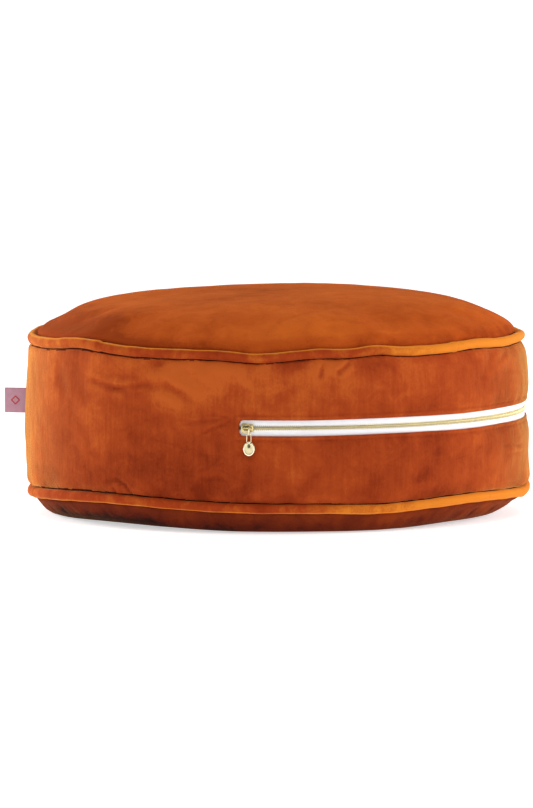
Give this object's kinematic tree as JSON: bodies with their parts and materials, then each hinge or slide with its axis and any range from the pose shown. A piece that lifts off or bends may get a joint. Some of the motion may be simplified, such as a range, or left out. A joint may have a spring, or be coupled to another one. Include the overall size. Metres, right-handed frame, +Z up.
{
  "type": "floor cushion",
  "caption": "Round boxed floor cushion in rust velvet with piped edges, a brass zip round the side with a hanging drop pull, and a small side label.",
  "frame": {"origin": "centre of the base, on the cushion's axis, at the floor", "axes": "+Z up along the cushion's axis; -Y is the front, where the zip's closed end is; the label is on the -X side"},
  "size_m": [0.6297, 0.6116, 0.27],
  "materials": {
    "velvet": "matte rust-orange velvet with a short directional pile",
    "calico": "plain unbleached calico",
    "cotton_cord": "soft twisted cotton piping cord",
    "fibre": "loose white polyester fibre",
    "zip_tape": "white herringbone woven tape",
    "brass": "pale polished brass, bright on the edges",
    "label_ribbon": "lilac-pink satin ribbon, folded double",
    "label_thread": "red embroidery thread"
  },
  "bodies": {
    "root": {"top_panel": "velvet", "bottom_panel": "velvet", "band_zip_strip": "velvet", "band_back_strip": "velvet", "upper_piping_cover": "velvet", "lower_piping_cover": "velvet", "pad_top_panel": "calico", "pad_bottom_panel": "calico", "pad_band": "calico", "upper_piping_cord": "cotton_cord", "lower_piping_cord": "cotton_cord", "fibre_filling": "fibre", "zip_tape_upper": "zip_tape", "zip_tape_lower": "zip_tape", "zip_teeth_upper": "brass", "zip_teeth_lower": "brass", "zip_top_stop_upper": "brass", "zip_top_stop_lower": "brass", "zip_bottom_stop": "brass"},
    "slider": {"slider_body": "brass"},
    "link": {"pull_link": "brass"},
    "loop": {"pull_loop": "brass"},
    "drop": {"pull_drop": "brass"},
    "label": {"side_label": "label_ribbon", "label_motif": "label_thread"}
  },
  "joints": [
    {"name": "slider_travel", "type": "hinge", "parent": "root", "child": "slider", "pos_m": [0, 0, 0.1285], "axis": [0, 0, 1], "range_deg": [0, 165.4], "deforming": ["zip_teeth_upper", "zip_teeth_lower"]},
    {"name": "link_swing", "type": "hinge", "parent": "slider", "child": "link", "pos_m": [-0.03243, -0.3057, 0.1285], "axis": [-0.9935, 0.1139, 0], "range_deg": [0, 150]},
    {"name": "loop_swing", "type": "hinge", "parent": "link", "child": "loop", "pos_m": [-0.03243, -0.3057, 0.1204], "axis": [-0.1139, -0.9935, 0], "range_deg": [-60, 60]},
    {"name": "drop_swing", "type": "hinge", "parent": "loop", "child": "drop", "pos_m": [-0.03243, -0.3057, 0.1116], "axis": [-0.9935, 0.1139, 0], "range_deg": [-8, 60]},
    {"name": "label_flip", "type": "hinge", "parent": "root", "child": "label", "pos_m": [-0.30104, 0.04231, 0.132], "axis": [0, 0, 1], "range_deg": [-75, 75]}
  ]
}
